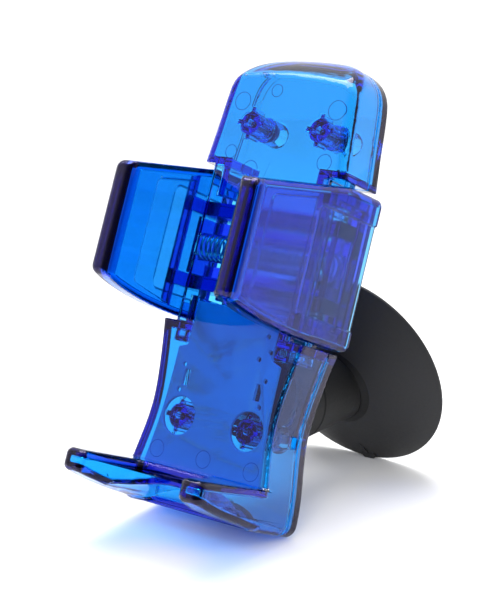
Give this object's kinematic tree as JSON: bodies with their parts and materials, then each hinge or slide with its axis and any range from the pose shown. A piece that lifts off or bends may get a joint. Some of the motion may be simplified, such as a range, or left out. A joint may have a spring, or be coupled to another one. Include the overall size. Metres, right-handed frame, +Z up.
{
  "type": "phone cradle mount",
  "caption": "Clear phone cradle with spring-loaded side jaws and bottom feet, leaning back on a ball joint and a rubber suction cup.",
  "frame": {"origin": "middle of the footprint, on the surface the mount stands on", "axes": "+Z up, the cradle faces -Y and leans back towards +Y, the suction cup is at the back, +X to the viewer's right"},
  "size_m": [0.0646, 0.1116, 0.1238],
  "materials": {
    "clear_blue": "gloss",
    "plate_grey": "satin",
    "steel": "satin",
    "black_plastic": "matte",
    "black_rubber": "matte",
    "seat_nylon": "satin"
  },
  "bodies": {
    "cup_base": {"suction_cup": "black_rubber", "cup_core": "steel", "core_washer": "steel", "core_screw": "steel", "hub_collar": "black_plastic", "socket_neck": "black_plastic"},
    "nut": {"lock_nut": "black_plastic"},
    "seats": {"rear_seat": "seat_nylon", "front_seat": "seat_nylon"},
    "stud": {"ball_stud": "black_plastic"},
    "cradle": {"front_cover": "clear_blue", "rear_cover": "clear_blue", "backing_plate": "plate_grey", "cover_screws": "steel", "mount_plate": "black_plastic", "stud_washer": "steel", "stud_nut": "steel", "jaw_spring": "steel"},
    "left_jaw": {"jaw_left": "clear_blue", "slide_left": "clear_blue"},
    "right_jaw": {"jaw_right": "clear_blue", "slide_right": "clear_blue"}
  },
  "joints": [
    {"name": "lock_nut_turn", "type": "hinge", "parent": "cup_base", "child": "nut", "pos_m": [0, 0.01007, 0.02859], "axis": [0, -0.9987, 0.0519], "range_deg": [0, 120]},
    {"name": "neck_turn", "type": "hinge", "parent": "cup_base", "child": "seats", "pos_m": [0, 0.01007, 0.02859], "axis": [0, -0.9987, 0.0519], "continuous": true},
    {"name": "stud_tilt", "type": "hinge", "parent": "seats", "child": "stud", "pos_m": [0, 0.01007, 0.02859], "axis": [1, 0, 0], "range_deg": [-4.3, 43.7]},
    {"name": "cradle_swivel", "type": "hinge", "parent": "stud", "child": "cradle", "pos_m": [0, 0.01007, 0.02859], "axis": [0, -0.9229, 0.3851], "continuous": true},
    {"name": "left_jaw_slide", "type": "slide", "parent": "cradle", "child": "left_jaw", "axis": [-1, 0, 0], "range_m": [0, 0.009], "stiffness_N_per_m": 400, "springref_m": -0.015, "deforming": ["jaw_spring"]},
    {"name": "right_jaw_slide", "type": "slide", "parent": "cradle", "child": "right_jaw", "axis": [1, 0, 0], "range_m": [0, 0.009], "stiffness_N_per_m": 400, "springref_m": -0.015, "deforming": ["jaw_spring"]}
  ]
}
